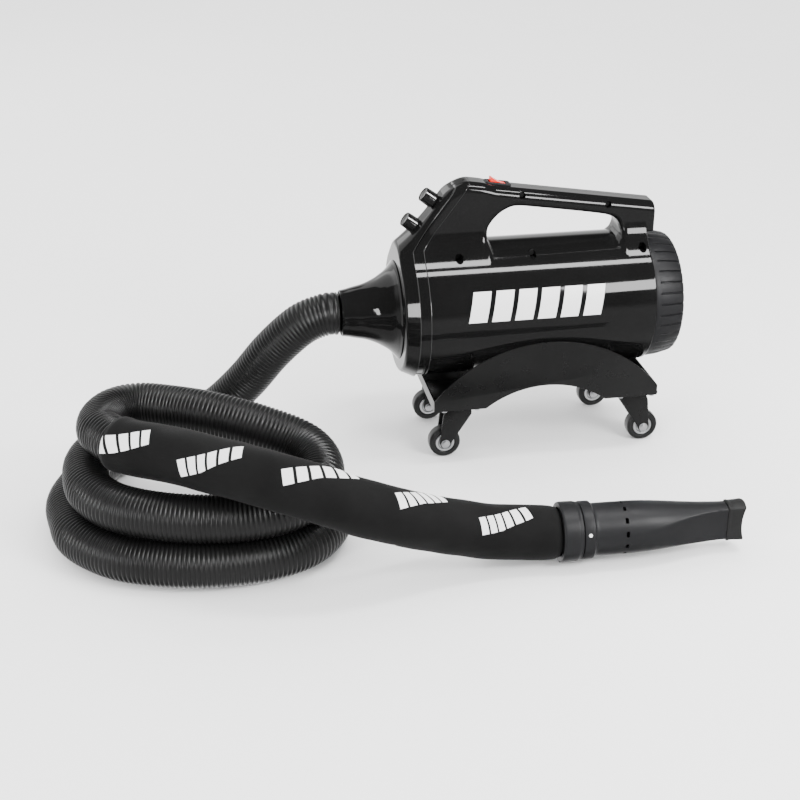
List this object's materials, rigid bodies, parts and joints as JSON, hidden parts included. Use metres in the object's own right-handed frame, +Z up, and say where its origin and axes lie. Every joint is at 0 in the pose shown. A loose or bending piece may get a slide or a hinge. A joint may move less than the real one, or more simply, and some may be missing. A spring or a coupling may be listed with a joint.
{
  "type": "pet dryer",
  "caption": "Single-barrel pet grooming dryer with top handle, red power rocker, turning knobs, caster cradle, coiled hose, fabric sleeve and narrow air nozzle.",
  "frame": {"origin": "on the floor under the middle of the dryer's own box, hose left out", "axes": "+X towards the dryer's rear cap along its barrel, -Y towards the nozzle side, +Z up"},
  "size_m": [0.7954, 0.4682, 0.3531],
  "materials": {
    "gloss_black": "high gloss",
    "moulded_black": "fine moulded texture",
    "hose_plastic": "satin",
    "sleeve_fabric": "dull woven",
    "rubber": "matte",
    "sheet_black": "satin powder coat",
    "zinc_steel": "bright zinc",
    "black_oxide": "dull black",
    "lamination": "varnished laminations",
    "copper_winding": "enamelled wire",
    "board_green": "solder mask",
    "mica": "mica board",
    "filter_foam": "open-cell foam",
    "caster_tread": "matte moulded",
    "switch_red": "semi-gloss, translucent red"
  },
  "bodies": {
    "dryer": {"housing_left": "gloss_black", "housing_right": "gloss_black", "housing_screw_1": "black_oxide", "housing_screw_2": "black_oxide", "housing_screw_3": "black_oxide", "housing_screw_4": "black_oxide", "housing_screw_5": "black_oxide", "front_cover": "gloss_black", "heat_pot": "zinc_steel", "speed_pot": "zinc_steel", "control_board": "board_green", "switch_body": "moulded_black", "nose_cone": "gloss_black", "cord_gland": "rubber", "motor_casing": "zinc_steel", "motor_mount_front": "rubber", "motor_mount_rear": "rubber", "stator": "lamination", "bearing_front": "zinc_steel", "bearing_rear": "zinc_steel", "heater_frame": "mica", "heater_coil": "zinc_steel", "cradle_side_right": "sheet_black", "cradle_side_left": "sheet_black", "cradle_end_front": "sheet_black", "cradle_end_rear": "sheet_black", "cradle_saddle_1": "sheet_black", "cradle_saddle_2": "sheet_black", "caster_plate_front_left": "zinc_steel", "caster_plate_rear_left": "zinc_steel", "caster_plate_front_right": "zinc_steel", "caster_plate_rear_right": "zinc_steel", "hose_coil": "hose_plastic", "hose_lead": "hose_plastic", "hose_cuff": "rubber", "hose_sleeve": "sleeve_fabric"},
    "heat_knob": {"heat_knob": "gloss_black"},
    "speed_knob": {"speed_knob": "gloss_black"},
    "rocker": {"switch_rocker": "switch_red"},
    "rotor": {"armature": "copper_winding", "motor_shaft": "zinc_steel", "impeller_1": "zinc_steel", "impeller_2": "zinc_steel"},
    "rear_cap": {"rear_cap": "moulded_black", "air_filter": "filter_foam"},
    "nozzle_collar": {"nozzle_collar": "moulded_black"},
    "nozzle": {"nozzle": "moulded_black", "nozzle_tip": "rubber"},
    "swivel_front_left": {"caster_fork_front_left": "sheet_black", "caster_axle_front_left": "zinc_steel"},
    "wheel_front_left": {"caster_wheel_front_left": "caster_tread"},
    "swivel_rear_left": {"caster_fork_rear_left": "sheet_black", "caster_axle_rear_left": "zinc_steel"},
    "wheel_rear_left": {"caster_wheel_rear_left": "caster_tread"},
    "swivel_front_right": {"caster_fork_front_right": "sheet_black", "caster_axle_front_right": "zinc_steel"},
    "wheel_front_right": {"caster_wheel_front_right": "caster_tread"},
    "swivel_rear_right": {"caster_fork_rear_right": "sheet_black", "caster_axle_rear_right": "zinc_steel"},
    "wheel_rear_right": {"caster_wheel_rear_right": "caster_tread"}
  },
  "joints": [
    {"name": "heat_knob_turn", "type": "hinge", "parent": "dryer", "child": "heat_knob", "pos_m": [-0.09516, 0, 0.32489], "axis": [-0.7986, 0, 0.6018], "range_deg": [0, 280]},
    {"name": "speed_knob_turn", "type": "hinge", "parent": "dryer", "child": "speed_knob", "pos_m": [-0.11827, 0, 0.29422], "axis": [-0.7986, 0, 0.6018], "range_deg": [0, 280]},
    {"name": "power_rocker", "type": "hinge", "parent": "dryer", "child": "rocker", "pos_m": [-0.0165, 0, 0.3436], "axis": [0, -1, 0], "range_deg": [-22, 0]},
    {"name": "rotor_spin", "type": "hinge", "parent": "dryer", "child": "rotor", "pos_m": [0, 0, 0.185], "axis": [1, 0, 0], "continuous": true},
    {"name": "rear_cap_pull", "type": "slide", "parent": "dryer", "child": "rear_cap", "axis": [1, 0, 0], "range_m": [0, 0.06]},
    {"name": "nozzle_swivel", "type": "hinge", "parent": "dryer", "child": "nozzle_collar", "pos_m": [-0.0167, -0.325, 0.037], "axis": [0.9989, -0.0471, 0], "continuous": true},
    {"name": "nozzle_pull", "type": "slide", "parent": "nozzle_collar", "child": "nozzle", "axis": [0.9989, -0.0471, 0], "range_m": [0, 0.08]},
    {"name": "swivel_front_left", "type": "hinge", "parent": "dryer", "child": "swivel_front_left", "pos_m": [-0.0735, -0.054, 0.05], "axis": [0, 0, 1], "continuous": true},
    {"name": "wheel_front_left", "type": "hinge", "parent": "swivel_front_left", "child": "wheel_front_left", "pos_m": [-0.0905, -0.054, 0.0205], "axis": [0, 1, 0], "continuous": true},
    {"name": "swivel_rear_left", "type": "hinge", "parent": "dryer", "child": "swivel_rear_left", "pos_m": [0.1585, -0.054, 0.05], "axis": [0, 0, 1], "continuous": true},
    {"name": "wheel_rear_left", "type": "hinge", "parent": "swivel_rear_left", "child": "wheel_rear_left", "pos_m": [0.1755, -0.054, 0.0205], "axis": [0, 1, 0], "continuous": true},
    {"name": "swivel_front_right", "type": "hinge", "parent": "dryer", "child": "swivel_front_right", "pos_m": [-0.0735, 0.054, 0.05], "axis": [0, 0, 1], "continuous": true},
    {"name": "wheel_front_right", "type": "hinge", "parent": "swivel_front_right", "child": "wheel_front_right", "pos_m": [-0.0905, 0.054, 0.0205], "axis": [0, 1, 0], "continuous": true},
    {"name": "swivel_rear_right", "type": "hinge", "parent": "dryer", "child": "swivel_rear_right", "pos_m": [0.1585, 0.054, 0.05], "axis": [0, 0, 1], "continuous": true},
    {"name": "wheel_rear_right", "type": "hinge", "parent": "swivel_rear_right", "child": "wheel_rear_right", "pos_m": [0.1415, 0.054, 0.0205], "axis": [0, 1, 0], "continuous": true}
  ]
}
